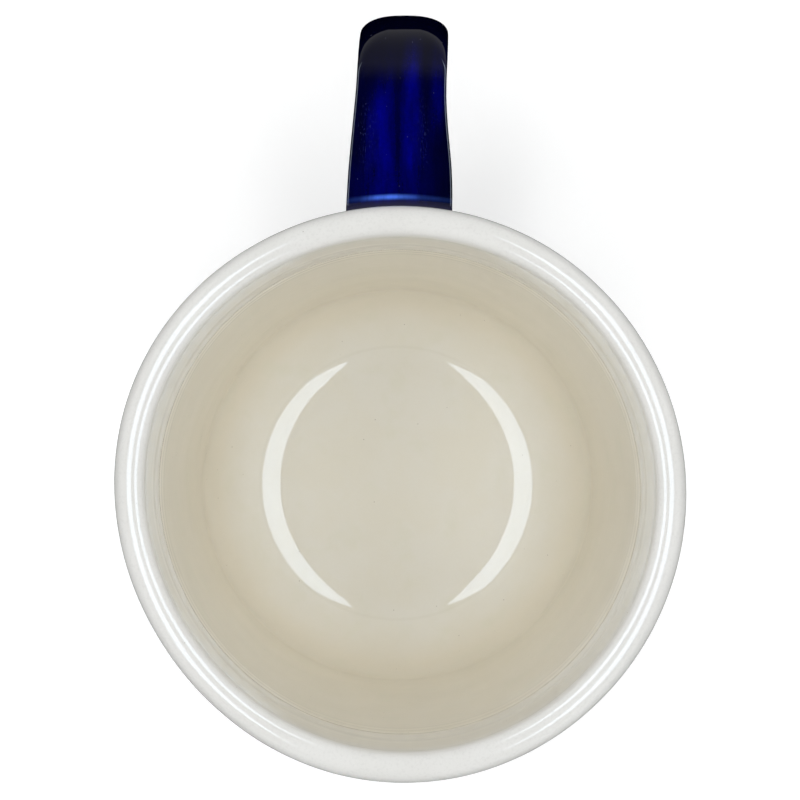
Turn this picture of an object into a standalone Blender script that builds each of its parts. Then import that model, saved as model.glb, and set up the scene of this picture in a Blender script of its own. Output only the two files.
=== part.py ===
"""Glazed ceramic mug: a turned clay cup, a strap handle luted on with slip, and the glaze coats over them.

Metres, +Z up. The mug stands on z = 0 and its handle points along +Y. The origin is on the table under
the middle of the whole mug, so the cup's own axis stands behind it, on the -Y side.
Every outline below is the finished, glazed surface; the clay lies one coat thickness behind it.
"""

import math

import bmesh
import bpy
from mathutils import Matrix, Vector

# Cup, measured over the glaze
CUP_HEIGHT = 0.094
CUP_RADIUS = 0.045
WAIST_RADIUS = 0.0443          # outer radius where the wall turns in to the base
BASE_ROUND = 0.0115            # rounding of the outer bottom edge
BASE_ROUND_SWEEP = 72.0        # degrees of that rounding that the glaze covers
LIP_CREST_RADIUS = 0.0419      # radius of the highest line of the lip
LIP_INNER_ROUND = 0.00195
LIP_COLOUR_LINE = 146.0        # degrees round that inner rounding where white glaze meets cream
LIP_OUTER_DROP = 0.0033        # height over which the lip rolls out to the full radius
CUP_DEPTH = 0.085
COVE_RADIUS = 0.0162           # rounding between the inner wall and the floor
WALL_TAPER = 2.85              # degrees by which the inner wall leans out

# Foot
FOOT_RADIUS = 0.0345
FOOT_WIDTH = 0.0038
FOOT_HEIGHT = 0.0022
FOOT_EDGE = 0.0004             # small chamfer on both edges of the foot ring

# Coats
GLAZE = 0.0005                 # thickness of every glaze coat
GAP = 0.0003                   # clearance between touching pieces
COAT = GLAZE + GAP
SLIP = 0.0010                  # thickness of the slip that joins handle and cup

# Handle, measured over the glaze
HANDLE_REACH = 0.0774          # from the cup's axis to the back of the handle
HANDLE_DROP = 0.006            # top of the handle below the lip
ROOT_WIDTH = 0.0169
WAIST_WIDTH = 0.0141
TAIL_WIDTH = 0.0156
ROOT_THICKNESS = 0.0090
WAIST_THICKNESS = 0.0074
ROOT_SPREAD = 0.023            # length over which the strap narrows from its upper end
TAIL_SPREAD = 0.032            # and from its lower end
ROOT_FILLET = 0.0022           # flare of the strap's two flat faces where it meets the cup
SECTION_SQUARENESS = 5.0       # 2 is an ellipse, more is squarer
HANDLE_LEAN = 0.031            # sideways run of the handle for each metre outwards
LEAN_PIVOT = 0.054             # distance from the cup's axis where the lean crosses the centre plane

# Path of the handle's middle line: radii in metres, turns in degrees, falling from level
UPPER_BEND_RADIUS = 0.0058
UPPER_BEND = -92.0
BACK_LENGTH = 0.033
BACK_BEND = -17.0
LOWER_BEND_RADIUS = 0.020
LOWER_BEND = -58.0
ROOT_DEPTH = 0.0035            # how far the strap's rough ends run into the cup before they are trimmed

TURNED_SEGMENTS = 52
SECTION_POINTS = 20

CUP_AXIS_Y = (CUP_RADIUS - HANDLE_REACH) / 2


def remove_old_objects():
    for old in list(bpy.data.objects):
        bpy.data.objects.remove(old, do_unlink=True)


def material(name, colour, roughness):
    finish = bpy.data.materials.new(name)
    finish.use_nodes = True
    shader = finish.node_tree.nodes["Principled BSDF"]
    shader.inputs["Base Color"].default_value = (*colour, 1.0)
    shader.inputs["Roughness"].default_value = roughness
    shader.inputs["Metallic"].default_value = 0.0
    return finish


def add_object(name, mesh_builder, finish, cup_axis):
    """Turn a finished bmesh into a named object that stands on the cup's axis."""
    bmesh.ops.recalc_face_normals(mesh_builder, faces=mesh_builder.faces[:])
    mesh = bpy.data.meshes.new(name)
    mesh_builder.to_mesh(mesh)
    mesh_builder.free()
    mesh.shade_smooth()
    mesh.set_sharp_from_angle(angle=math.radians(40))
    node = bpy.data.objects.new(name, mesh)
    bpy.context.collection.objects.link(node)
    node.parent = cup_axis
    if finish:
        node.data.materials.append(finish)
    else:
        node.hide_render = True
        node.display_type = "WIRE"
    return node


def boolean(node, operation, other):
    cut = node.modifiers.new(operation.lower(), "BOOLEAN")
    cut.operation = operation
    cut.solver = "EXACT"
    cut.object = other


# Outlines of the turned pieces: points of (radius, height)

def arc(centre, radius_across, radius_up, start, end, steps):
    """Points along an elliptical arc, from one angle to the other, in degrees from the outward direction."""
    points = []
    for step in range(steps + 1):
        angle = math.radians(start + (end - start) * step / steps)
        points.append(Vector((centre[0] + radius_across * math.cos(angle),
                              centre[1] + radius_up * math.sin(angle))))
    return points


def lip_split_angle():
    """Half the angle, round the inside of the lip, that keeps the backs of the two coats a gap apart."""
    return math.degrees(GAP / 2 / (LIP_INNER_ROUND - GLAZE))


def outside_outline(last_angle):
    """The outside, from the glaze line at the base up over the crest of the lip to its inner edge."""
    lip_centre = (LIP_CREST_RADIUS, CUP_HEIGHT - LIP_INNER_ROUND)
    roll_centre = (LIP_CREST_RADIUS, CUP_HEIGHT - LIP_OUTER_DROP)
    base_centre = (WAIST_RADIUS - BASE_ROUND, FOOT_HEIGHT + BASE_ROUND + COAT)
    points = arc(base_centre, BASE_ROUND, BASE_ROUND, -BASE_ROUND_SWEEP, 0, 5)
    points += arc(roll_centre, CUP_RADIUS - LIP_CREST_RADIUS, LIP_OUTER_DROP, 0, 90, 5)
    points += arc(lip_centre, LIP_INNER_ROUND, LIP_INNER_ROUND, 90, last_angle, 3)[1:]
    return points


def inside_outline(first_angle):
    """The inside, from the inner edge of the lip down the wall and round the cove to the floor's centre."""
    lip_centre = (LIP_CREST_RADIUS, CUP_HEIGHT - LIP_INNER_ROUND)
    taper = math.radians(WALL_TAPER)
    floor_height = CUP_HEIGHT - CUP_DEPTH
    wall_top_radius = LIP_CREST_RADIUS - LIP_INNER_ROUND
    wall_foot_height = floor_height + COVE_RADIUS * (1 - math.sin(taper))
    wall_foot_radius = wall_top_radius - (lip_centre[1] - wall_foot_height) * math.tan(taper)
    cove_centre = (wall_foot_radius - COVE_RADIUS * math.cos(taper), floor_height + COVE_RADIUS)
    points = arc(lip_centre, LIP_INNER_ROUND, LIP_INNER_ROUND, first_angle, 180, 2)
    points += arc(cove_centre, COVE_RADIUS, COVE_RADIUS, -WALL_TAPER, -90, 7)
    points.append(Vector((0, floor_height)))
    return points


def inset(points, distance):
    """The same outline, moved into the clay by a distance, with every stretch kept parallel."""
    moved = []
    for index, point in enumerate(points):
        before = point - points[index - 1] if index > 0 else None
        after = points[index + 1] - point if index + 1 < len(points) else None
        sides = [Vector((-run.y, run.x)).normalized() for run in (before, after) if run is not None]
        direction = sum(sides, Vector((0, 0))).normalized()
        moved.append(point + direction * distance / direction.dot(sides[0]))
    return moved


def turned(points, closed):
    """Spin an outline about the cup's axis; an open outline starts and ends on the axis."""
    builder = bmesh.new()
    verts = [builder.verts.new((radius, 0, height)) for radius, height in points]
    pairs = list(zip(verts, verts[1:])) + ([(verts[-1], verts[0])] if closed else [])
    edges = [builder.edges.new(pair) for pair in pairs]
    bmesh.ops.spin(builder, geom=verts + edges, cent=(0, 0, 0), axis=(0, 0, 1), angle=math.tau,
                   steps=TURNED_SEGMENTS, use_merge=True)
    bmesh.ops.remove_doubles(builder, verts=builder.verts[:], dist=0.000001)
    return builder


def cup_body_outline():
    """The bare clay: recess and foot ring underneath, then the glazed outline moved in by one coat."""
    recess_height = FOOT_HEIGHT + COAT
    foot_inner = FOOT_RADIUS - FOOT_WIDTH
    underside = [Vector(pair) for pair in (
        (0, recess_height),
        (foot_inner - FOOT_EDGE, recess_height),
        (foot_inner, FOOT_EDGE),
        (foot_inner + FOOT_EDGE, 0),
        (FOOT_RADIUS - FOOT_EDGE, 0),
        (FOOT_RADIUS, FOOT_EDGE),
        (FOOT_RADIUS, FOOT_HEIGHT),
    )]
    glazed = outside_outline(LIP_COLOUR_LINE) + inside_outline(LIP_COLOUR_LINE)[1:]
    return underside + inset(glazed, COAT)


def coat_outline(face):
    """A glaze coat: back along its face, then behind it, one glaze thickness nearer the clay."""
    return face[::-1] + inset(face, GLAZE)


def recess_glaze_outline():
    radius = FOOT_RADIUS - FOOT_WIDTH - FOOT_EDGE - 2 * GAP
    return [Vector(pair) for pair in (
        (0, FOOT_HEIGHT),
        (radius, FOOT_HEIGHT),
        (radius, FOOT_HEIGHT + GLAZE),
        (0, FOOT_HEIGHT + GLAZE),
    )]


# The handle: one section carried along a path in the plane of the cup's axis

def walk(point, heading, pieces):
    """Follow straight and curved pieces, each (length, turn in degrees, steps), giving (point, heading)."""
    stations = [(point, heading)]
    for length, turn, steps in pieces:
        half_turn = math.radians(turn) / steps / 2
        chord = length / steps
        if turn:
            chord *= math.sin(half_turn) / half_turn
        for _ in range(steps):
            heading += half_turn
            point = point + chord * Vector((math.cos(heading), math.sin(heading)))
            heading += half_turn
            stations.append((point, heading))
    return stations


def handle_path(depth):
    """Stations down the middle of the strap, from a depth inside the wall, out, down and in again."""
    start = Vector((CUP_RADIUS - depth, CUP_HEIGHT - HANDLE_DROP - ROOT_THICKNESS / 2))
    bend_reach = HANDLE_REACH - WAIST_THICKNESS / 2 - UPPER_BEND_RADIUS
    arm = bend_reach - CUP_RADIUS - ROOT_FILLET
    pieces = [
        (depth, 0, 1),
        (ROOT_FILLET, 0, 4),
        (arm, 0, 3),
        (UPPER_BEND_RADIUS * math.radians(-UPPER_BEND), UPPER_BEND, 8),
        (BACK_LENGTH, BACK_BEND, 5),
        (LOWER_BEND_RADIUS * math.radians(-LOWER_BEND), LOWER_BEND, 6),
    ]
    stations = walk(start, 0.0, pieces)
    last_point, last_heading = stations[-1]
    inward = -math.cos(last_heading)
    tail = (last_point.x - CUP_RADIUS) / inward - ROOT_FILLET
    closing = [
        (tail, 0, 2),
        (ROOT_FILLET, 0, 4),
        (depth / inward, 0, 1),
    ]
    return stations + walk(last_point, last_heading, closing)[1:]


def swelling(from_end, spread):
    """1 at an end of the strap, falling smoothly to 0 over the spread."""
    return (1 + math.cos(math.pi * min(1.0, max(0.0, from_end / spread)))) / 2


def strap_size(distance, total):
    """Width and thickness of the strap at a distance along it, counted from wall to wall."""
    root = swelling(distance, ROOT_SPREAD)
    tail = swelling(total - distance, TAIL_SPREAD)
    near_wall = max(0.0, ROOT_FILLET - max(0.0, min(distance, total - distance)))
    flare = ROOT_FILLET - math.sqrt(ROOT_FILLET ** 2 - near_wall ** 2)
    width = WAIST_WIDTH + (ROOT_WIDTH - WAIST_WIDTH) * root + (TAIL_WIDTH - WAIST_WIDTH) * tail
    thickness = WAIST_THICKNESS + (ROOT_THICKNESS - WAIST_THICKNESS) * (root + tail) + 2 * flare
    return width, thickness


def section_frames(shrink, depth=ROOT_DEPTH):
    """One matrix for each station of the handle, which places and scales the unit section there."""
    stations = handle_path(depth)
    gone = -depth
    distances = [gone]
    for (before, _), (after, _) in zip(stations, stations[1:]):
        gone += (after - before).length
        distances.append(gone)
    total = distances[-2]
    frames = []
    for (point, heading), distance in zip(stations, distances):
        width, thickness = strap_size(distance, total)
        sideways = HANDLE_LEAN * (point.x - LEAN_PIVOT)
        place = Matrix.Translation((sideways, point.x, point.y))
        turn = Matrix.Rotation(heading, 4, "X")
        size = Matrix.Diagonal((width / 2 - shrink, 1, thickness / 2 - shrink, 1))
        frames.append(place @ turn @ size)
    return frames


def strap(frames):
    """Carry a rounded section from station to station and close both ends."""
    builder = bmesh.new()
    power = 2 / SECTION_SQUARENESS
    ring = bmesh.ops.create_circle(builder, segments=SECTION_POINTS, radius=1.0)["verts"]
    for vert in ring:
        across, up, _ = vert.co
        vert.co = (math.copysign(abs(across) ** power, across), 0, math.copysign(abs(up) ** power, up))
    first_ring = builder.edges[:]
    bmesh.ops.transform(builder, matrix=frames[0], verts=ring)
    edges = first_ring
    for before, after in zip(frames, frames[1:]):
        grown = bmesh.ops.extrude_edge_only(builder, edges=edges)["geom"]
        ring = [piece for piece in grown if isinstance(piece, bmesh.types.BMVert)]
        edges = [piece for piece in grown if isinstance(piece, bmesh.types.BMEdge)]
        bmesh.ops.transform(builder, matrix=after @ before.inverted(), verts=ring)
    bmesh.ops.contextual_create(builder, geom=first_ring)
    bmesh.ops.contextual_create(builder, geom=edges)
    return builder


def wall_cylinder(name, radius, cup_axis):
    """A cutter that stands where the cup's wall is, so that the handle ends on its curve."""
    outline = [Vector(pair) for pair in ((0, 0), (radius, 0), (radius, CUP_HEIGHT), (0, CUP_HEIGHT))]
    return add_object(name, turned(outline, False), None, cup_axis)


def build_cup(cup_axis):
    clay = material("bare_buff_clay", (0.62, 0.52, 0.40), 0.85)
    white = material("white_glaze", (0.80, 0.80, 0.77), 0.10)
    cream = material("cream_glaze", (0.58, 0.53, 0.41), 0.10)
    split = lip_split_angle()
    white_face = outside_outline(LIP_COLOUR_LINE - split)
    cream_face = inside_outline(LIP_COLOUR_LINE + split)
    add_object("cup_body", turned(cup_body_outline(), False), clay, cup_axis)
    outer = add_object("white_outer_glaze", turned(coat_outline(white_face), True), white, cup_axis)
    add_object("cream_liner_glaze", turned(coat_outline(cream_face), False), cream, cup_axis)
    add_object("foot_recess_glaze", turned(recess_glaze_outline(), False), white, cup_axis)
    return outer


def build_handle(cup_axis, outer_glaze):
    clay = material("handle_clay", (0.62, 0.52, 0.40), 0.85)
    slip = material("joining_slip", (0.58, 0.49, 0.38), 0.9)
    cobalt = material("cobalt_glaze", (0.010, 0.014, 0.20), 0.08)
    lining = strap(section_frames(GLAZE, 2 * ROOT_DEPTH))
    lined = add_object("handle_lining_cutter", lining, None, cup_axis)
    boolean(outer_glaze, "DIFFERENCE", lined)

    clay_frames = section_frames(COAT)
    core = add_object("strap_handle", strap(clay_frames), clay, cup_axis)
    slip_back = CUP_RADIUS - GLAZE
    slip_face = slip_back + SLIP
    boolean(core, "DIFFERENCE", wall_cylinder("core_end_cutter", slip_face + GAP, cup_axis))

    back_cutter = wall_cylinder("slip_back_cutter", slip_back, cup_axis)
    face_cutter = wall_cylinder("slip_face_cutter", slip_face, cup_axis)
    for name, near_wall in (("upper_slip_joint", clay_frames[:8]), ("lower_slip_joint", clay_frames[-7:])):
        joint = add_object(name, strap(near_wall), slip, cup_axis)
        boolean(joint, "DIFFERENCE", back_cutter)
        boolean(joint, "INTERSECT", face_cutter)

    coat = add_object("cobalt_handle_glaze", strap(section_frames(0.0)), cobalt, cup_axis)
    boolean(coat, "DIFFERENCE", lined)
    boolean(coat, "DIFFERENCE", wall_cylinder("coat_end_cutter", CUP_RADIUS + GAP, cup_axis))


def main():
    remove_old_objects()
    cup_axis = bpy.data.objects.new("cup_axis", None)
    bpy.context.collection.objects.link(cup_axis)
    cup_axis.location = (0, CUP_AXIS_Y, 0)
    outer_glaze = build_cup(cup_axis)
    build_handle(cup_axis, outer_glaze)


main()
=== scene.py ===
# %% [markdown]
# # A glazed mug, finished coat by coat
#
# A plain model of the mug exists already: eight closed solids for the clay, the slip and the glazes. This
# lesson keeps their sizes and places and makes the surfaces that the eye sees. Each coat of glaze is
# turned or swept again with fine curves, and each gets its own procedural finish. The plain model is
# loaded first, because every size below is measured from it or named once in metres.

# %% Load the plain model and measure it
import math

import bmesh
import bpy
from mathutils import Matrix, Vector, noise


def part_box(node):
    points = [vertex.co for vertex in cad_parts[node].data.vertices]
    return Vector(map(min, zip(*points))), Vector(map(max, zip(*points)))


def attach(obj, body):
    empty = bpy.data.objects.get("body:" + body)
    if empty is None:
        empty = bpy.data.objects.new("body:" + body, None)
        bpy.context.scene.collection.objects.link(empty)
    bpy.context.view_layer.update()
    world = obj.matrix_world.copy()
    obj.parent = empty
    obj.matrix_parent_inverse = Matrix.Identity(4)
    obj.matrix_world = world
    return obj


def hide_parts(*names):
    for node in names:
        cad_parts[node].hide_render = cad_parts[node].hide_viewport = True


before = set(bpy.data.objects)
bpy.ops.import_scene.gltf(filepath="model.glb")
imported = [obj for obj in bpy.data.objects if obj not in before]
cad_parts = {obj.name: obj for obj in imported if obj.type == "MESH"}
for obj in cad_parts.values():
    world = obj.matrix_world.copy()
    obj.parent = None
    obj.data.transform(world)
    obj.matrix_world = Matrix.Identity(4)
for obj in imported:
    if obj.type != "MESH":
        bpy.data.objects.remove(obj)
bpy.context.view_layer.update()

MM = 0.001
cup_low, cup_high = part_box("white_outer_glaze")
strap_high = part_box("cobalt_handle_glaze")[1]
lining_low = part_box("cream_liner_glaze")[0]
recess_low, recess_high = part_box("foot_recess_glaze")

CUP_RADIUS = (cup_high.x - cup_low.x) / 2
CUP_HEIGHT = cup_high.z
CUP_AXIS = Vector((0, (cup_low.y + cup_high.y) / 2, 0))
GLAZE = recess_high.z - recess_low.z
# The finished handle reaches this much further out than the plain one.
EXTRA_REACH = 0.2 * MM
HANDLE_REACH = strap_high.y - CUP_AXIS.y + EXTRA_REACH
FLOOR_HEIGHT = lining_low.z + GLAZE
print(f"cup: radius {CUP_RADIUS / MM:.1f} mm, height {CUP_HEIGHT / MM:.1f} mm, "
      f"axis at y {CUP_AXIS.y / MM:.1f} mm")
print(f"glaze {GLAZE / MM:.2f} mm thick, inside floor at {FLOOR_HEIGHT / MM:.1f} mm, "
      f"handle reaches {HANDLE_REACH / MM:.1f} mm from the axis")

# %% [markdown]
# ## Sums made of sockets
#
# A finish is a small sum: so much of one colour where a noise is high, so much of another where it is low.
# Built by hand, each plus sign is a node with two wires. The small class below wraps a node's output, so
# that such a sum can be written as Python writes it, and Blender's Math nodes appear behind it.

# %% A socket that can be added and multiplied
class Socket:
    """One output of a node. A sum with it adds a Math node and gives that node's output."""

    def __init__(self, board, output):
        self.board = board
        self.output = output

    def beside(self, name):
        """Another output of the same node."""
        return Socket(self.board, self.output.node.outputs[name])

    def maths(self, operation, first, second):
        return self.board.node("ShaderNodeMath", {"operation": operation}, {0: first, 1: second})

    def __add__(self, other):
        return self.maths("ADD", self, other)

    __radd__ = __add__

    def __sub__(self, other):
        return self.maths("SUBTRACT", self, other)

    def __rsub__(self, other):
        return self.maths("SUBTRACT", other, self)

    def __mul__(self, other):
        return self.maths("MULTIPLY", self, other)

    __rmul__ = __mul__

    def __gt__(self, other):
        return self.maths("GREATER_THAN", self, other)

    def __lt__(self, other):
        return self.maths("LESS_THAN", self, other)


# %% [markdown]
# A board is a node tree to build on. Its `node` method takes a node's type, the settings to make first,
# and what goes into each socket. The other methods are short names for the nodes that are needed often. A
# finish is the board of one material, with the shader that every finish here feeds.

# %% A board of nodes, and a finish built on it
class Board:
    """A node tree and short names for the nodes that go on it."""

    def __init__(self, tree):
        self.tree = tree

    def node(self, kind, settings, sockets, output=0):
        made = self.tree.nodes.new(kind)
        for name, value in settings.items():
            setattr(made, name, value)
        for key, value in sockets.items():
            self.feed(made.inputs[key], value)
        return Socket(self, made.outputs[output])

    def feed(self, target, value):
        if isinstance(value, Socket):
            self.tree.links.new(value.output, target)
        else:
            target.default_value = value

    def place(self, stretch=(1, 1, 1), centre=CUP_AXIS):
        """Object coordinates counted from a centre, and stretched along the axes."""
        origin = self.node("ShaderNodeTexCoord", {}, {}, "Object")
        offset = [-part * scale for part, scale in zip(centre, stretch)]
        return self.node("ShaderNodeMapping", {}, {"Vector": origin, "Location": offset, "Scale": stretch})

    def parts(self, place):
        """The x, y and z of a place."""
        split = self.node("ShaderNodeSeparateXYZ", {}, {0: place})
        return [split.beside(index) for index in range(3)]

    def cloud(self, place, size, detail=2.0, roughness=0.5):
        """Soft noise from 0 to 1 whose lumps are about one size across."""
        shape = {"Vector": place, "Scale": 1 / size, "Detail": detail, "Roughness": roughness}
        return self.node("ShaderNodeTexNoise", {}, shape, "Fac")

    def between(self, value, low, high):
        """0 below low, 1 above high, and a smooth rise between them."""
        return self.node("ShaderNodeMapRange", {"interpolation_type": "SMOOTHSTEP"},
                         {"Value": value, "From Min": low, "From Max": high})

    def hump(self, value, middle, half_width):
        """1 in the middle and a smooth fall to 0 at half the width on each side."""
        distance = self.node("ShaderNodeMath", {"operation": "ABSOLUTE"}, {0: value - middle})
        return 1 - self.between(distance, 0.0, half_width)

    def specks(self, place, spacing, size, share):
        """Round dots: 1 in the middle of a dot. Only a share of the cells holds one."""
        cell = self.node("ShaderNodeTexVoronoi", {}, {"Vector": place, "Scale": 1 / spacing}, "Distance")
        nearness = 1 - self.between(cell, 0.0, size / spacing)
        lot = self.parts(cell.beside("Color"))[0]
        return nearness * (lot > 1 - share)

    def mix(self, share, first, second):
        """A colour between two: the first at 0, the second at 1."""
        first, second = [(*tone, 1.0) if isinstance(tone, tuple) else tone for tone in (first, second)]
        return self.node("ShaderNodeMix", {"data_type": "RGBA"}, {0: share, 6: first, 7: second}, 2)


class Finish(Board):
    """A material in the making."""

    def __init__(self, name, index_of_refraction=1.5):
        self.material = bpy.data.materials.new(name)
        self.material.use_nodes = True
        super().__init__(self.material.node_tree)
        self.shader = self.tree.nodes["Principled BSDF"]
        self.shader.inputs["IOR"].default_value = index_of_refraction

    def dress(self, colour, roughness, height, distance):
        """Feed the shader. The height is fine relief, counted in shares of the distance."""
        self.feed(self.shader.inputs["Base Color"], colour)
        self.feed(self.shader.inputs["Roughness"], roughness)
        bump = self.node("ShaderNodeBump", {}, {"Height": height, "Distance": distance}, "Normal")
        self.feed(self.shader.inputs["Normal"], bump)


# %% [markdown]
# ## The white outer glaze
#
# The outside is dipped in an opaque white glaze. Fired, it is a thin glass full of tiny crystals: glossy,
# faintly uneven in tone, and with a few iron specks and pinholes where gas left the clay. The gloss does
# most of the work, so the relief stays far smaller than a tenth of a millimetre.

# %% White glaze
GLAZE_REFRACTION = 1.58


def white_glaze():
    coat = Finish("white_glaze", GLAZE_REFRACTION)
    place = coat.place()
    drift = coat.cloud(place, 14 * MM, 3.0)
    grain = coat.cloud(place, 0.45 * MM, 2.0)
    tone = coat.mix(coat.between(drift, 0.35, 0.65), (0.775, 0.775, 0.750), (0.800, 0.800, 0.778))
    tone = coat.mix(coat.between(grain, 0.45, 0.8) * 0.25, tone, (0.60, 0.60, 0.58))
    iron = coat.specks(place, 2.4 * MM, 0.16 * MM, 0.4)
    tone = coat.mix(iron * 0.65, tone, (0.20, 0.17, 0.13))
    ripple = coat.cloud(place, 2.2 * MM, 1.0) + grain * 0.15 - iron * 0.8
    coat.dress(tone, 0.025 + drift * 0.03, ripple, 0.008 * MM)
    return coat.material


# %% [markdown]
# ## The cream lining glaze
#
# The inside is rinsed with a second glaze, a warm cream. It pools slightly on the floor and shows fine
# pinholes and faint grey-green and pink drifts, where the clay's iron bled into it. Then the lip is dipped
# in the white once more. The white runs a little way down the inside and lies there thinly over the cream,
# in a paler band that ends in a low ring. Fine rings above and below it are left from the potter's
# fingers.
# A faint darker ring painted on the floor stands for the edge of the rim's reflection in the cove.

# %% Cream glaze
BAND_DEPTH = 14 * MM
# Radius of the painted ring on the floor, at the edge of the rim's reflection in the cove.
REFLECTION_RING_RADIUS = 26.5 * MM


def cream_glaze():
    coat = Finish("cream_glaze", GLAZE_REFRACTION)
    place = coat.place()
    drift = coat.cloud(place, 11 * MM, 3.0)
    bleed = coat.cloud(place, 6 * MM, 2.0)
    grain = coat.cloud(place, 0.5 * MM, 2.0)
    across, along, height = coat.parts(place)
    tone = coat.mix(coat.between(drift, 0.3, 0.7), (0.828, 0.780, 0.668), (0.845, 0.798, 0.690))
    pool = coat.between(height, FLOOR_HEIGHT + 9 * MM, FLOOR_HEIGHT + 0.5 * MM)
    pooled = coat.mix(coat.between(drift, 0.35, 0.65), (0.838, 0.822, 0.752), (0.848, 0.838, 0.785))
    tone = coat.mix(pool, tone, pooled)
    tone = coat.mix(coat.between(bleed, 0.5, 0.75) * 0.25, tone, (0.77, 0.77, 0.64))
    tone = coat.mix(grain * 0.10, tone, (0.70, 0.64, 0.52))
    tone = coat.mix(white_overlap(coat, place, drift), tone, (0.79, 0.79, 0.765))
    radius = coat.node("ShaderNodeMath", {"operation": "SQRT"}, {0: across * across + along * along})
    # Painted reflection: a faint darker ring on the floor along the edge of the rim's mirror image in the
    # cove.
    painted_reflection_ring = coat.hump(radius, REFLECTION_RING_RADIUS, 0.5 * MM) * (height < FLOOR_HEIGHT + 6 * MM)
    tone = coat.mix(painted_reflection_ring * 0.12, tone, (0.62, 0.60, 0.50))
    pinholes = coat.specks(place, 2.1 * MM, 0.15 * MM, 0.4)
    tone = coat.mix(pinholes * 0.7, tone, (0.16, 0.13, 0.09))
    flat_place = coat.place((0.03, 0.03, 1))
    rings = coat.cloud(flat_place, 1.1 * MM) * coat.hump(height, CUP_HEIGHT - 15 * MM, 16 * MM)
    tone = coat.mix(coat.between(rings, 0.40, 0.60) * 0.4, tone, (0.86, 0.84, 0.78))
    ripple = coat.cloud(place, 2.5 * MM, 1.0) + grain * 0.15 - pinholes * 0.8 + rings * 3.5
    coat.dress(tone, 0.025 + drift * 0.03, ripple, 0.008 * MM)
    return coat.material


def white_overlap(coat, place, drift):
    """How much of the white lies over the cream: thin down to the ring, full at the lip."""
    height = coat.parts(place)[2] + drift * 1.2 * MM
    thin = coat.between(height, CUP_HEIGHT - BAND_DEPTH - 0.5 * MM, CUP_HEIGHT - BAND_DEPTH + 0.5 * MM)
    full = coat.between(height, CUP_HEIGHT - 5 * MM, CUP_HEIGHT - 0.6 * MM)
    return thin * 0.5 + full * 0.5


# %% [markdown]
# ## The cobalt glaze
#
# Cobalt stains a clear glaze so strongly that it looks black where it lies thick and a pure deep blue
# where it ran thin. On a strap it runs lengthwise, so the patches are long streaks. They follow the
# strap, not the room: the sweep below writes how far along and how far across each point lies. Each
# streak is named by its middle across the strap, its half width, where it ends along the strap, and
# how strongly it shows.
# At the root, a pale highlight and a dark grey reflection on the fillet are painted into the glaze.

# %% Cobalt glaze
THIN_STREAKS = (
    (-2.4 * MM, 2.2 * MM, 19 * MM, 0.58),
    (1.6 * MM, 2.1 * MM, 23 * MM, 0.60),
    (-4.2 * MM, 2.3 * MM, 17 * MM, 0.34),
    (3.7 * MM, 2.0 * MM, 15 * MM, 0.10),
)
SIDE_STREAK = 5.9 * MM
# Distance from the wall of the painted highlight on the root's fillet.
PAINTED_HIGHLIGHT_AT = 1.75 * MM


def cobalt_glaze():
    coat = Finish("cobalt_glaze", 1.55)
    along = coat.node("ShaderNodeAttribute", {"attribute_name": "along"}, {}, "Fac")
    across = coat.node("ShaderNodeAttribute", {"attribute_name": "across"}, {}, "Fac")
    place = coat.place()
    run = coat.node("ShaderNodeCombineXYZ", {}, {"X": across, "Y": along * 0.16})
    patch = coat.cloud(run, 1.5 * MM, 4.0, 0.65)
    mottle = coat.cloud(place, 0.5 * MM, 2.0)
    thin = coat.hump(across, -0.2 * MM, 12 * MM) * coat.between(along, 27 * MM, 18 * MM) * 0.12
    for middle, half_width, end, amount in THIN_STREAKS:
        before_end = coat.between(along, end + 4 * MM, end - 4 * MM)
        thin = thin + coat.hump(across, middle, half_width) * before_end * amount
    thin = thin + coat.hump(across, SIDE_STREAK, 1.8 * MM) * coat.hump(along, 18 * MM, 9 * MM) * 0.30
    near_wall = coat.between(along, 9.5 * MM, 4 * MM)
    thin = thin * (1 - near_wall * 0.8) + near_wall * coat.hump(across, -1.5 * MM, 11 * MM) * 0.26
    thin = thin * (patch * 2.8 - 0.4) * (0.6 + mottle * 0.8)
    blue = coat.mix(thin, (0.0004, 0.0006, 0.007), (0.0, 0.0, 0.19))
    # Painted highlight and painted reflection on the fillet at the handle's root.
    blue = painted_fillet_reflections(coat, blue, along, across, patch)
    blue, dust = scuffs(coat, blue, along, across, place)
    ripple = coat.cloud(place, 1.8 * MM, 1.0) + dust * 0.6
    coat.dress(blue, 0.03 + coat.cloud(place, 3 * MM) * 0.03, ripple, 0.008 * MM)
    return coat.material


def painted_fillet_reflections(coat, blue, along, across, patch):
    """A painted highlight, a pale line just off the wall, and below it a dark band painted along the joint:
    the fillet's reflections of the white rim and of the grey room.
    """
    reach = coat.hump(across, -1.5 * MM, 5.5 * MM) * 0.82 + coat.hump(across, -0.5 * MM, 14 * MM) * 0.18
    # Painted reflection: a dark grey band along the joint, in place of the fillet's reflection of the grey
    # room.
    painted_reflection_band = coat.between(along, PAINTED_HIGHLIGHT_AT - 0.2 * MM, 0.3 * MM)
    blue = coat.mix(painted_reflection_band, blue, (0.010, 0.009, 0.040))
    # Painted highlight: a pale blue line on the fillet, in place of its reflection of the white rim.
    painted_highlight_line = coat.hump(along, PAINTED_HIGHLIGHT_AT, 0.62 * MM) * reach
    return coat.mix(painted_highlight_line * (0.2 + patch * 1.5), blue, (0.07, 0.18, 0.86))


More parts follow.
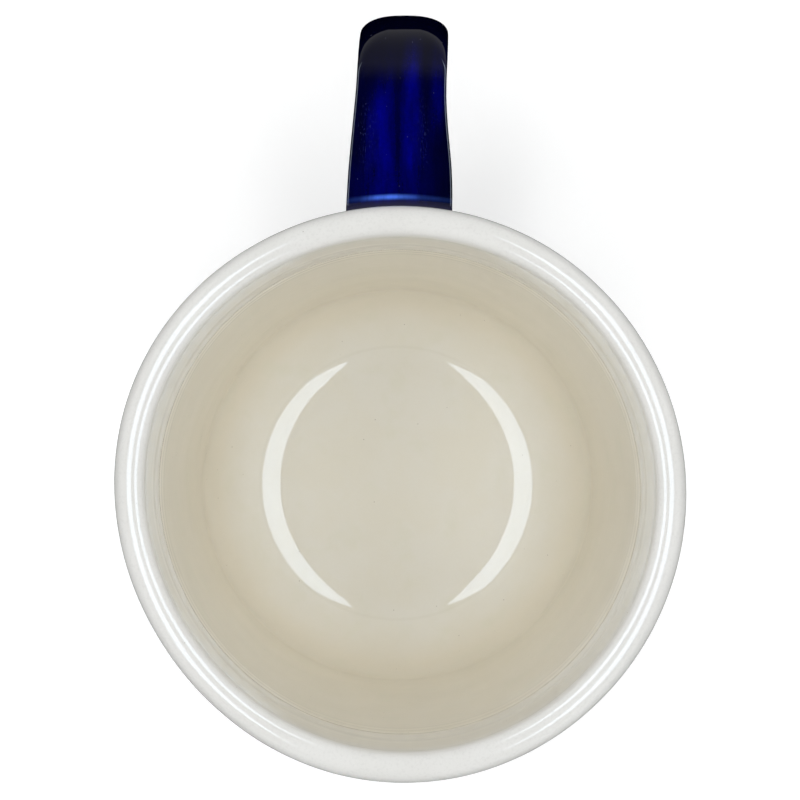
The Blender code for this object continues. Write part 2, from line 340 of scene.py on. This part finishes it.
def scuffs(coat, blue, along, across, place):
    """White dust under the glaze, and fine scratches in two bands that run along the strap."""
    dust = coat.specks(place, 1.1 * MM, 0.10 * MM, 0.4)
    blue = coat.mix(dust * 0.45, blue, (0.25, 0.27, 0.38))
    thread = coat.node("ShaderNodeCombineXYZ", {}, {"X": across, "Y": along * 0.25})
    scratch = coat.between(coat.cloud(thread, 0.16 * MM, 2.0), 0.56, 0.76)
    worn = coat.hump(across, -5.2 * MM, 3.0 * MM) + coat.hump(across, 3.6 * MM, 1.4 * MM)
    worn = worn * coat.hump(along, 12 * MM, 9 * MM)
    return coat.mix(scratch * worn * 0.35, blue, (0.06, 0.075, 0.20)), dust


# %% [markdown]
# ## The bare clay
#
# The foot ring is wiped clean before firing, or the glaze would stick the mug to the kiln shelf. Bare
# stoneware is matt, buff, and freckled with iron, with fine rings left by the sponge on the wheel.

# %% Bare clay
def bare_clay(name, light, dark):
    clay = Finish(name)
    place = clay.place()
    drift = clay.cloud(place, 5 * MM, 4.0)
    grit = clay.cloud(place, 0.35 * MM, 3.0, 0.7)
    tone = clay.mix(clay.between(drift, 0.3, 0.7), light, dark)
    tone = clay.mix(grit * 0.35, tone, (0.30, 0.22, 0.14))
    iron = clay.specks(place, 1.5 * MM, 0.16 * MM, 0.35)
    tone = clay.mix(iron * 0.7, tone, (0.10, 0.06, 0.035))
    rings = clay.cloud(clay.place((1, 1, 14)), 3 * MM)
    clay.dress(tone, 0.72 + grit * 0.2, grit + rings * 0.8, 0.05 * MM)
    return clay.material


white_finish = white_glaze()
cream_finish = cream_glaze()
cobalt_finish = cobalt_glaze()
clay_finish = bare_clay("bare_clay", (0.60, 0.50, 0.38), (0.52, 0.42, 0.31))
slip_finish = bare_clay("slip", (0.56, 0.47, 0.36), (0.48, 0.39, 0.29))
print("finishes:", ", ".join(material.name for material in bpy.data.materials))

# %% [markdown]
# ## Turning the cup
#
# A thrown cup is a solid of revolution, so each of its coats is one outline spun about the axis. The
# outline is written as it would be on a potter's rib: a rounded lip, a nearly straight wall, a rounded
# base. Straight stretches need only their ends, and round stretches are arcs.

# %% Outlines for turning
LIP_CREST_RADIUS = CUP_RADIUS - 3.1 * MM
LIP_INNER_ROUND = 1.95 * MM
LIP_OUTER_DROP = 3.3 * MM
LIP_COLOUR_LINE = 146.0
WAIST_RADIUS = CUP_RADIUS - 0.7 * MM
BASE_ROUND = 11.5 * MM
BASE_ROUND_SWEEP = 72.0
COVE_RADIUS = 16.2 * MM
WALL_TAPER = 2.85
FOOT_RADIUS = 34.5 * MM
FOOT_WIDTH = 3.8 * MM
FOOT_HEIGHT = recess_low.z
FOOT_EDGE = 0.6 * MM
BASE_CENTRE = (WAIST_RADIUS - BASE_ROUND, FOOT_HEIGHT + 0.8 * MM + BASE_ROUND)


def on_ellipse(centre, radius_across, radius_up, degrees):
    """A point (radius, height) on an ellipse, at an angle from the outward direction."""
    angle = math.radians(degrees)
    return Vector((centre[0] + radius_across * math.cos(angle), centre[1] + radius_up * math.sin(angle)))


def arc(centre, radius_across, radius_up, start, end, steps):
    """Points along an elliptical arc, from one angle to the other."""
    return [on_ellipse(centre, radius_across, radius_up, start + (end - start) * step / steps)
            for step in range(steps + 1)]


def straight(start, end, steps):
    """Points inside a straight stretch, without its two ends."""
    return [start.lerp(end, step / steps) for step in range(1, steps)]


def inset(points, distance):
    """The same outline moved into the clay by a distance."""
    moved = []
    for index, point in enumerate(points):
        before = point - points[index - 1] if index > 0 else None
        after = points[index + 1] - point if index + 1 < len(points) else None
        sides = [Vector((-run.y, run.x)).normalized() for run in (before, after) if run is not None]
        direction = sum(sides, Vector((0, 0))).normalized()
        moved.append(point + direction * distance / direction.dot(sides[0]))
    return moved


# %% [markdown]
# Two coats that only met edge to edge would show a black crack on the lip. So each of them runs a little
# past the colour line and sinks below the other there: the line is where the two surfaces cross.

# %% The outside and the inside of the cup
SINK_ANGLE = 9.0
SINK_DEPTH = 0.18 * MM
SINK_STEPS = 3
WALL_RINGS = (
    (BAND_DEPTH, 0.18 * MM, 2.5 * MM),
    (9.5 * MM, 0.03 * MM, 1.2 * MM),
    (17.6 * MM, 0.04 * MM, 1.2 * MM),
    (20.0 * MM, 0.03 * MM, 1.2 * MM),
)
lip_centre = (LIP_CREST_RADIUS, CUP_HEIGHT - LIP_INNER_ROUND)


def sinking_arc(direction):
    """The last few degrees of a coat on the lip, going down below the other coat."""
    points = []
    for step in range(1, SINK_STEPS + 1):
        share = step / SINK_STEPS
        reach = LIP_INNER_ROUND - SINK_DEPTH * share
        points.append(on_ellipse(lip_centre, reach, reach, LIP_COLOUR_LINE + direction * SINK_ANGLE * share))
    return points


def outside_outline():
    roll_centre = (LIP_CREST_RADIUS, CUP_HEIGHT - LIP_OUTER_DROP)
    base = arc(BASE_CENTRE, BASE_ROUND, BASE_ROUND, -BASE_ROUND_SWEEP, 0, 20)
    roll = arc(roll_centre, CUP_RADIUS - LIP_CREST_RADIUS, LIP_OUTER_DROP, 0, 90, 18)
    crown = arc(lip_centre, LIP_INNER_ROUND, LIP_INNER_ROUND, 90, LIP_COLOUR_LINE, 12)
    return base + straight(base[-1], roll[0], 24) + roll + crown[1:]


def swelling(distance, spread):
    """1 at a place, falling smoothly to 0 over the spread."""
    return (1 + math.cos(math.pi * min(1.0, max(0.0, distance / spread)))) / 2


def ring_relief(height):
    """How far the edge of the white overlap and the throwing rings stand out of the inner wall."""
    return sum(relief * swelling(abs(CUP_HEIGHT - depth - height), spread)
               for depth, relief, spread in WALL_RINGS)


def inside_outline():
    taper = math.radians(WALL_TAPER)
    wall_foot_height = FLOOR_HEIGHT + COVE_RADIUS * (1 - math.sin(taper))
    wall_top_radius = LIP_CREST_RADIUS - LIP_INNER_ROUND
    wall_foot_radius = wall_top_radius - (lip_centre[1] - wall_foot_height) * math.tan(taper)
    cove_centre = (wall_foot_radius - COVE_RADIUS * math.cos(taper), FLOOR_HEIGHT + COVE_RADIUS)
    crown = arc(lip_centre, LIP_INNER_ROUND, LIP_INNER_ROUND, LIP_COLOUR_LINE, 180, 8)
    cove = arc(cove_centre, COVE_RADIUS, COVE_RADIUS, -WALL_TAPER, -90, 30)
    wall = straight(crown[-1], cove[0], 110)
    for point in wall:
        point.x -= ring_relief(point.y)
    floor_centre = Vector((0, FLOOR_HEIGHT))
    return crown + wall + cove + straight(cove[-1], floor_centre, 12) + [floor_centre]


white_face = outside_outline() + sinking_arc(1)
cream_face = sinking_arc(-1)[::-1] + inside_outline()
print(f"outline points: {len(white_face)} outside, {len(cream_face)} inside")

# %% [markdown]
# Spinning gives a perfectly round cup, which no potter makes. A hand-made lip is slightly oval and
# slightly three-cornered from drying, so a small swell is added to every turned piece. It fades towards
# the base, which the wheel held true.

# %% Spin an outline and give it a hand-made swell
TURN_STEPS = 240
LIP_SWELL = ((2, 0.37 * MM, -60.0), (3, 0.27 * MM, 36.0), (4, 0.09 * MM, -13.0))


def swell(angle, height):
    """How far the cup stands out of round in a direction and at a height."""
    fade = min(1.0, max(0.0, height / CUP_HEIGHT)) ** 2
    waves = [size * math.cos(lobes * (angle - math.radians(peak))) for lobes, size, peak in LIP_SWELL]
    return fade * sum(waves)


def out_of_round(shape):
    for vert in shape.verts:
        radius = math.hypot(vert.co.x, vert.co.y)
        if radius > 0.1 * MM:
            share = swell(math.atan2(vert.co.y, vert.co.x), vert.co.z) / CUP_RADIUS
            vert.co.x *= 1 + share
            vert.co.y *= 1 + share


def turn(points, closed):
    """Spin an outline about the cup's axis; an open one starts and ends on the axis."""
    shape = bmesh.new()
    verts = [shape.verts.new((radius, 0, height)) for radius, height in points]
    pairs = list(zip(verts, verts[1:])) + ([(verts[-1], verts[0])] if closed else [])
    edges = [shape.edges.new(pair) for pair in pairs]
    bmesh.ops.spin(shape, geom=verts + edges, cent=(0, 0, 0), axis=(0, 0, 1), angle=math.tau,
                   steps=TURN_STEPS, use_merge=True)
    bmesh.ops.remove_doubles(shape, verts=shape.verts[:], dist=0.001 * MM)
    out_of_round(shape)
    return shape


def settle(shape):
    """Move a shape from the cup's axis to the cup's place and turn its faces outwards."""
    bmesh.ops.translate(shape, vec=CUP_AXIS, verts=shape.verts[:])
    bmesh.ops.recalc_face_normals(shape, faces=shape.faces[:])


def undulate(shape, depth, size):
    """Let a glazed surface wander in and out by a few hundredths of a millimetre."""
    shape.normal_update()
    moves = [vert.normal * depth * noise.noise(vert.co / size) for vert in shape.verts]
    for vert, move in zip(shape.verts, moves):
        vert.co += move


def make_piece(name, shape, finish, node):
    """Turn a shape into an object that stands for one piece of the plain model."""
    mesh = bpy.data.meshes.new(name)
    shape.to_mesh(mesh)
    shape.free()
    mesh.shade_smooth()
    mesh.materials.append(finish)
    piece = bpy.data.objects.new(name, mesh)
    bpy.context.collection.objects.link(piece)
    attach(piece, "root")
    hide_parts(node)
    size = piece.dimensions / MM
    print(f"{name}: {len(mesh.polygons)} faces, {size.x:.1f} x {size.y:.1f} x {size.z:.1f} mm")


# %% [markdown]
# ## The coats of the cup
#
# Each coat is its face and, half a millimetre behind it, its back. The white coat stops above the foot in
# a rounded edge that wavers, because glaze is wiped off by hand there.

# %% White coat
EDGE_WAVER = 1.6


def waver_edge(shape):
    """Slide the coat's lower edge a little up and down round the base rounding."""
    for vert in shape.verts:
        radius = math.hypot(vert.co.x, vert.co.y)
        across = radius - BASE_CENTRE[0]
        down = BASE_CENTRE[1] - vert.co.z
        if across > 0 and down > 0:
            angle = math.atan2(vert.co.y, vert.co.x)
            share = (math.atan2(down, across) / math.radians(BASE_ROUND_SWEEP)) ** 6
            wave = noise.noise(Vector((math.cos(angle), math.sin(angle), 0)) * 3.0)
            turn_by = math.radians(EDGE_WAVER) * share * (0.4 + 1.6 * wave)
            new_across = across * math.cos(turn_by) - down * math.sin(turn_by)
            new_down = across * math.sin(turn_by) + down * math.cos(turn_by)
            vert.co.x += (new_across - across) * math.cos(angle)
            vert.co.y += (new_across - across) * math.sin(angle)
            vert.co.z -= new_down - down


def coat_edge():
    """The rounded lower edge of the white coat, from its back to its face."""
    middle = inset(white_face[:2], GLAZE / 2)[0]
    tip = math.radians(-BASE_ROUND_SWEEP - 90)
    return [middle + Vector((math.cos(tip + turn_by), math.sin(tip + turn_by))) * GLAZE / 2
            for turn_by in (math.radians(-45), 0, math.radians(45))]


white_shape = turn(white_face + inset(white_face, GLAZE)[::-1] + coat_edge(), True)
waver_edge(white_shape)
settle(white_shape)
undulate(white_shape, 0.025 * MM, 9 * MM)
make_piece("white_coat", white_shape, white_finish, "white_outer_glaze")

# %% [markdown]
# The cream lining is the same kind of coat. Its outline starts on the axis with the face, climbs the wall
# to the colour line, and comes back to the axis with the back, so nothing has to close it.

# %% Cream lining
cream_shape = turn(cream_face[::-1] + inset(cream_face, GLAZE), False)
settle(cream_shape)
undulate(cream_shape, 0.025 * MM, 9 * MM)
make_piece("cream_lining", cream_shape, cream_finish, "cream_liner_glaze")

# %% [markdown]
# ## The clay cup and the glaze in its foot
#
# The clay fills the space between the coats and shows only as the foot ring. The ring has softened
# edges, since it is sponged and later rubbed smooth so that it can't scratch a table.

# %% Clay cup
def clay_outline():
    """From the middle of the recess, round the foot ring, then behind the two coats to the inside floor."""
    ceiling = FOOT_HEIGHT + GLAZE
    foot_inner = FOOT_RADIUS - FOOT_WIDTH
    recess_corner = (foot_inner - 1.2 * MM, ceiling - 1.2 * MM)
    ring = arc(recess_corner, 1.2 * MM, 1.2 * MM, 90, 0, 6)
    ring += arc((foot_inner + FOOT_EDGE, FOOT_EDGE), FOOT_EDGE, FOOT_EDGE, 180, 270, 6)
    ring += arc((FOOT_RADIUS - FOOT_EDGE, FOOT_EDGE), FOOT_EDGE, FOOT_EDGE, 270, 360, 6)
    hidden = inset(outside_outline() + inside_outline()[1:], GLAZE + 0.02 * MM)
    return [Vector((0, ceiling))] + ring + [Vector((FOOT_RADIUS, FOOT_HEIGHT))] + hidden


clay_shape = turn(clay_outline(), False)
settle(clay_shape)
make_piece("clay_cup", clay_shape, clay_finish, "cup_body")

# %% [markdown]
# The hollow inside the foot ring never touches the kiln shelf, so it keeps its glaze: a thin disc of the
# same white, turned like the rest.

# %% Glaze in the foot recess
RECESS_RADIUS = recess_high.x


def recess_outline():
    """A thin disc of glaze with a rounded rim, thicker towards its edge where it pooled."""
    pool = arc((RECESS_RADIUS - GLAZE / 2, FOOT_HEIGHT + GLAZE / 2), GLAZE / 2, GLAZE / 2, -90, 90, 8)
    return [Vector((0, FOOT_HEIGHT + 0.15 * MM)), Vector((RECESS_RADIUS - 5 * MM, FOOT_HEIGHT + 0.1 * MM))] \
        + pool + [Vector((0, FOOT_HEIGHT + GLAZE))]


recess_shape = turn(recess_outline(), False)
settle(recess_shape)
make_piece("recess_coat", recess_shape, white_finish, "foot_recess_glaze")

# %% [markdown]
# ## The path of the handle
#
# The handle was pulled as a long strap of clay, bent over, and pressed on to the wall at both ends. Its
# middle line is walked piece by piece: straight out, a short ease, a tight upper bend, a long back that
# leans in, and a wide lower bend home to the wall.

# %% Walk the middle line of the strap
HANDLE_DROP = 6 * MM
ROOT_WIDTH = 16.9 * MM
WAIST_WIDTH = 14.35 * MM
TAIL_WIDTH = 15.6 * MM
ROOT_THICKNESS = 9.0 * MM
WAIST_THICKNESS = 7.4 * MM
ROOT_SPREAD = 22 * MM
TAIL_SPREAD = 32 * MM
ROOT_FILLET = 1.6 * MM
FLARE_SHARE = 0.55
HANDLE_LEAN = 0.031
LEAN_PIVOT = 54 * MM
SWAY = 0.3 * MM
SWAY_AT = 17 * MM
SWAY_SPREAD = 15 * MM
EASE_LENGTH = 6 * MM
EASE_TURN = 7.0
UPPER_TURN = 92.0
UPPER_BEND_RADIUS = 5.8 * MM
LOWER_BEND_RADIUS = 20 * MM
LOWER_TURN = 58.0
BACK_LENGTH = 33 * MM
BACK_TURN = 17.0
EMBED = 0.35 * MM


def walk(point, heading, pieces):
    """Follow pieces, each (length, turn in degrees, steps), and give (point, heading, length walked)."""
    stations = [(point, heading, 0.0)]
    walked = 0.0
    for length, turn_by, steps in pieces:
        half_turn = math.radians(turn_by) / steps / 2
        chord = length / steps
        if turn_by:
            chord *= math.sin(half_turn) / half_turn
        for _ in range(steps):
            heading += half_turn
            point = point + chord * Vector((math.cos(heading), math.sin(heading)))
            heading += half_turn
            walked += length / steps
            stations.append((point, heading, walked))
    return stations


def handle_stations():
    """Stations from wall to wall; each end starts a little inside the white glaze."""
    root = Vector((CUP_RADIUS - EMBED, CUP_HEIGHT - HANDLE_DROP - ROOT_THICKNESS / 2))
    bend_reach = HANDLE_REACH - WAIST_THICKNESS / 2 - UPPER_BEND_RADIUS
    bend = UPPER_TURN - EASE_TURN
    arm = bend_reach + UPPER_BEND_RADIUS * math.sin(math.radians(EASE_TURN)) - CUP_RADIUS
    out = [
        (EMBED, 0, 1),
        (ROOT_FILLET, 0, 10),
        (arm - ROOT_FILLET - EASE_LENGTH, 0, 20),
        (EASE_LENGTH, -EASE_TURN, 10),
        (UPPER_BEND_RADIUS * math.radians(bend), -bend, 26),
        (BACK_LENGTH, -BACK_TURN, 34),
        (LOWER_BEND_RADIUS * math.radians(LOWER_TURN), -LOWER_TURN, 26),
    ]
    stations = walk(root, 0.0, out)
    point, heading, walked = stations[-1]
    inward = -math.cos(heading)
    home = [
        ((point.x - CUP_RADIUS) / inward - ROOT_FILLET, 0, 10),
        (ROOT_FILLET, 0, 10),
        (EMBED / inward, 0, 1),
    ]
    tail = [(place, turned, walked + more) for place, turned, more in walk(point, heading, home)[1:]]
    return stations + tail


stations = handle_stations()
STRAP_LENGTH = stations[-1][2] - 2 * EMBED
print(f"{len(stations)} stations over {STRAP_LENGTH / MM:.1f} mm of strap")

# %% [markdown]
# ## The section of the strap
#
# The strap's outer face was left flat and its edges crisp near the root. Round the bend and down the back
# a wet thumb softened them. So the section is a rounded rectangle whose outer corners grow along the way,
# with two very shallow grooves that the fingers left while pulling.

# %% The rounded section
CORNER_STEPS = 9
FACE_STEPS = 26
BACK_STEPS = 14
SIDE_STEPS = 6
CRISP_CORNER = 0.35 * MM
SOFT_ACROSS = 5.6 * MM
SOFT_UP = 3.0 * MM
SOFT_FROM = 21.5 * MM
SOFT_TO = 29.5 * MM
INNER_CORNER = 2.8 * MM
GROOVE = 0.06 * MM
GROOVE_MARGIN = 2.5 * MM


def strap_size(distance):
    """Width and thickness of the strap at a distance from the upper wall."""
    root = swelling(distance, ROOT_SPREAD)
    tail = swelling(STRAP_LENGTH - distance, TAIL_SPREAD)
    to_wall = max(0.0, min(distance, STRAP_LENGTH - distance))
    near_wall = max(0.0, ROOT_FILLET - to_wall)
    flare = FLARE_SHARE * (ROOT_FILLET - math.sqrt(ROOT_FILLET ** 2 - near_wall ** 2))
    width = WAIST_WIDTH + (ROOT_WIDTH - WAIST_WIDTH) * root + (TAIL_WIDTH - WAIST_WIDTH) * tail
    thickness = WAIST_THICKNESS + (ROOT_THICKNESS - WAIST_THICKNESS) * (root + tail) + 2 * flare
    return width, thickness


def smooth_share(value, low, high):
    """0 below low, 1 above high, and a smooth rise between them."""
    share = min(1.0, max(0.0, (value - low) / (high - low)))
    return share * share * (3 - 2 * share)


def section(distance, shrink):
    """Points (across, up) round the strap's section, starting on its outer face."""
    width, thickness = strap_size(distance)
    half_width, half_thickness = width / 2 - shrink, thickness / 2 - shrink
    softness = smooth_share(distance, SOFT_FROM, SOFT_TO)
    outer = (CRISP_CORNER + (SOFT_ACROSS - CRISP_CORNER) * softness - shrink / 2,
             CRISP_CORNER + (SOFT_UP - CRISP_CORNER) * softness - shrink / 2)
    inner = (INNER_CORNER - shrink, INNER_CORNER - shrink)
    points = []
    for side, rise, (across, up), steps, start in (
        (1, 1, outer, FACE_STEPS, 90), (1, -1, inner, SIDE_STEPS, 0),
        (-1, -1, inner, BACK_STEPS, -90), (-1, 1, outer, SIDE_STEPS, -180),
    ):
        centre = (side * (half_width - across), rise * (half_thickness - up))
        corner = arc(centre, across, up, start, start - 90, CORNER_STEPS)
        if points:
            points += straight(points[-1], corner[0], steps)
        points += corner
    points += straight(points[-1], points[0], FACE_STEPS)
    for point in points:
        if point.y > 0:
            trough = math.cos(math.tau * point.x / (width * 0.5)) - 1
            point.y += GROOVE / 2 * trough * smooth_share(half_width - abs(point.x), 0, GROOVE_MARGIN)
    return points


print(f"{len(section(0.0, 0.0))} points round the section")

# %% [markdown]
# ## Sweeping the cobalt coat
#
# One ring of points is extruded from station to station. Each new point keeps its number in the ring in a
# layer of the mesh, so that it can find its own place in the next section. Two more layers record how far
# along and how far across the strap it lies, for the glaze's streaks. A second, smaller sweep inside makes
# the back of the coat, and both are bridged where they meet the wall.

# %% Sweep rings along the strap
WALL_FIT_LENGTH = 8 * MM


def wall_fit(across, distance):
    """How far a point near the wall moves back, so that the strap's end follows the round cup."""
    to_wall = min(distance, STRAP_LENGTH - distance)
    sagitta = CUP_RADIUS - math.sqrt(CUP_RADIUS ** 2 - across ** 2)
    return sagitta * (1 - smooth_share(to_wall, 0, WALL_FIT_LENGTH))


def place_ring(ring, station, shrink, layers):
    """Put the points of one ring on the section at a station."""
    order, along, across = layers
    point, heading, walked = station
    distance = walked - EMBED
    outline = section(distance, shrink)
    for vert in ring:
        spot = outline[round(vert[order])]
        outward = point.x - spot.y * math.sin(heading) - wall_fit(spot.x, distance)
        height = point.y + spot.y * math.cos(heading)
        sway = SWAY * swelling(abs(distance - SWAY_AT), SWAY_SPREAD)
        vert.co = (spot.x + HANDLE_LEAN * (outward - LEAN_PIVOT) - sway, outward, height)
        vert[along] = distance
        vert[across] = spot.x


def sweep(shape, stations, shrink, layers):
    """Extrude one ring along the stations and give the edges of its two ends."""
    points_round = len(section(0.0, 0.0))
    ring = bmesh.ops.create_circle(shape, segments=points_round, radius=ROOT_WIDTH)["verts"]
    for index, vert in enumerate(ring):
        vert[layers[0]] = index
    edges = list({edge for vert in ring for edge in vert.link_edges})
    place_ring(ring, stations[0], shrink, layers)
    first = edges
    for station in stations[1:]:
        grown = bmesh.ops.extrude_edge_only(shape, edges=edges)["geom"]
        ring = [part for part in grown if isinstance(part, bmesh.types.BMVert)]
        edges = [part for part in grown if isinstance(part, bmesh.types.BMEdge)]
        place_ring(ring, station, shrink, layers)
    return first, edges


def strap_layers(shape):
    """The three layers that a sweep fills in."""
    return [shape.verts.layers.float.new(name) for name in ("order", "along", "across")]


coat_shape = bmesh.new()
coat_layers = strap_layers(coat_shape)
face_ends = sweep(coat_shape, stations, 0.0, coat_layers)
back_ends = sweep(coat_shape, stations, GLAZE, coat_layers)
for face_end, back_end in zip(face_ends, back_ends):
    bmesh.ops.bridge_loops(coat_shape, edges=face_end + back_end)
settle(coat_shape)
undulate(coat_shape, 0.03 * MM, 7 * MM)
make_piece("cobalt_coat", coat_shape, cobalt_finish, "cobalt_handle_glaze")

# %% [markdown]
# ## The clay inside the handle
#
# Under the coat lies the strap of clay, and at each end of it a skin of slip, the wet clay that glued it
# to the cup. They are the same sweep again, one coat smaller and closed at both ends. The coat hides them,
# but a cut or broken handle would show them in this order.

# %% Clay and slip
SLIP_STATIONS = 7
CORE_SHRINK = GLAZE + 0.05 * MM


def strap_core(name, part, finish, node):
    """A closed length of the strap, one coat smaller."""
    shape = bmesh.new()
    for end in sweep(shape, part, CORE_SHRINK, strap_layers(shape)):
        bmesh.ops.edgeloop_fill(shape, edges=end)
    settle(shape)
    make_piece(name, shape, finish, node)


clay_part = stations[SLIP_STATIONS + 1:-SLIP_STATIONS - 1]
strap_core("handle_clay", clay_part, clay_finish, "strap_handle")
strap_core("upper_slip", stations[1:SLIP_STATIONS], slip_finish, "upper_slip_joint")
strap_core("lower_slip", stations[-SLIP_STATIONS:-1], slip_finish, "lower_slip_joint")

# %% [markdown]
# ## The table
#
# The mug stands on a plain pale table. It glows faintly, so that it stays close to white round the mug's
# soft shadow, and glossy rays miss it, or its glow would fill the glazes with a pale veil. It lies a
# fiftieth of a millimetre under the foot ring, since two faces at one height would flicker.

# %% Table
TABLE_GLOW = 0.2
TABLE_DROP = 0.02 * MM


def table_finish():
    cover = Finish("pale_table")
    grain = cover.cloud(cover.place(), 2 * MM, 2.0)
    cover.dress(cover.mix(grain, (0.93, 0.93, 0.93), (0.95, 0.95, 0.95)), 0.9, grain, 0.02 * MM)
    cover.shader.inputs["Emission Color"].default_value = (1, 1, 1, 1)
    cover.shader.inputs["Emission Strength"].default_value = TABLE_GLOW
    return cover.material


table_shape = bmesh.new()
bmesh.ops.create_grid(table_shape, x_segments=8, y_segments=8, size=3.0,
                      matrix=Matrix.Translation((0, 0, -TABLE_DROP)))
table_mesh = bpy.data.meshes.new("table")
table_shape.to_mesh(table_mesh)
table_shape.free()
table_mesh.materials.append(table_finish())
table = bpy.data.objects.new("table", table_mesh)
bpy.context.collection.objects.link(table)
table.visible_glossy = False
print(f"table: {table.dimensions.x:.0f} m across, glow {TABLE_GLOW}")

# %% [markdown]
# ## The lights
#
# One light can't be both soft on matt colours and sharp in a mirror, so the two jobs are split. Two gleams,
# seen only by glossy rays, hang on the left and on the right: they draw the bright lines on the lip and on
# the floor of the mug. Three fills, seen only by matt surfaces, light the colours without a mirror image
# of their own.

# %% Soft lights
LIGHT_RISE = 1.2
SIDE_SLOPE = 0.25
FAR_SLOPE = 0.84
FILL_SIDE_SLOPE = 0.46
GLEAM_RADIANCE = 4.3
GLEAM_COLOUR = (0.86, 1.0, 1.16)
OVERHEAD_RADIANCE = 3.15
SIDE_FILL_RADIANCE = 4.1


def soft_light(name, near, far, half_length, radiance):
    """A flat light over the rim. Its edges are slopes, counted sideways from straight above the rim."""
    width = LIGHT_RISE * abs(far - near)
    length = LIGHT_RISE * half_length * 2
    data = bpy.data.lights.new(name, "AREA")
    data.shape = "RECTANGLE"
    data.size = width
    data.size_y = length
    data.energy = radiance * math.pi * width * length
    light = bpy.data.objects.new(name, data)
    bpy.context.collection.objects.link(light)
    light.location = (LIGHT_RISE * (far + near) / 2, CUP_AXIS.y, CUP_HEIGHT + LIGHT_RISE)
    print(f"{name}: {width:.2f} x {length:.2f} m, {data.energy:.0f} W")
    return light


overhead = soft_light("overhead_fill", -SIDE_SLOPE, SIDE_SLOPE, 0.90, OVERHEAD_RADIANCE)
overhead.visible_glossy = False
for name, side in (("left", -1), ("right", 1)):
    gleam = soft_light(name + "_gleam", side * SIDE_SLOPE, side * FAR_SLOPE, 0.65, GLEAM_RADIANCE)
    gleam.data.color = GLEAM_COLOUR
    gleam.visible_diffuse = False
    fill = soft_light(name + "_fill", side * FILL_SIDE_SLOPE, side * FAR_SLOPE, 0.30, SIDE_FILL_RADIANCE)
    fill.visible_glossy = False

# %% [markdown]
# ## The room
#
# What hangs round the mug shows in its glazes too. The room is grey at the horizon and darker upwards, with
# a dark spot straight above, so the flat top of the blue handle stays deep.

# %% The room
def build_room():
    """Grey walls that darken upwards, a dark spot straight above, and dark below the horizon."""
    world = bpy.data.worlds.new("room")
    world.use_nodes = True
    bpy.context.scene.world = world
    room = Board(world.node_tree)
    direction = room.node("ShaderNodeTexCoord", {}, {}, "Generated")
    up = room.parts(direction)[2]
    walls = 0.2 + (1 - up) * (1 - up) * 0.4
    level = walls * room.between(up, 0.0, 0.04) * room.between(up, 0.965, 0.925)
    background = world.node_tree.nodes["Background"]
    room.feed(background.inputs["Strength"], level)
    background.inputs["Color"].default_value = (1, 1, 1, 1)


build_room()
print("room:", bpy.context.scene.world.name)

# %% [markdown]
# ## The camera
#
# The camera looks straight down into the mug from a third of a metre above the lip, with the handle
# pointing up in the frame. It hangs slightly to one side of the cup's axis.

# %% Camera
CAMERA_RISE = 0.335
CAMERA_OFFSET = Vector((-3.5, 7.4, 0)) * MM
AIM = Vector((-0.22, 14.37, 0)) * MM
LENS = 96.9


def hang_camera():
    data = bpy.data.cameras.new("overhead")
    data.lens = LENS
    data.sensor_width = 36.0
    camera = bpy.data.objects.new("overhead", data)
    bpy.context.collection.objects.link(camera)
    rim = CUP_AXIS + Vector((0, 0, CUP_HEIGHT))
    place = rim + CAMERA_OFFSET + Vector((0, 0, CAMERA_RISE))
    forward = (rim + AIM - place).normalized()
    right = forward.cross(Vector((0, 1, 0))).normalized()
    up = right.cross(forward)
    turn_to = Matrix((right, up, -forward)).transposed().to_4x4()
    camera.matrix_world = Matrix.Translation(place) @ turn_to
    bpy.context.scene.camera = camera
    return camera


camera = hang_camera()
bpy.context.scene.view_settings.view_transform = "Standard"
print("camera at", tuple(round(part, 4) for part in camera.location), "lens", LENS)
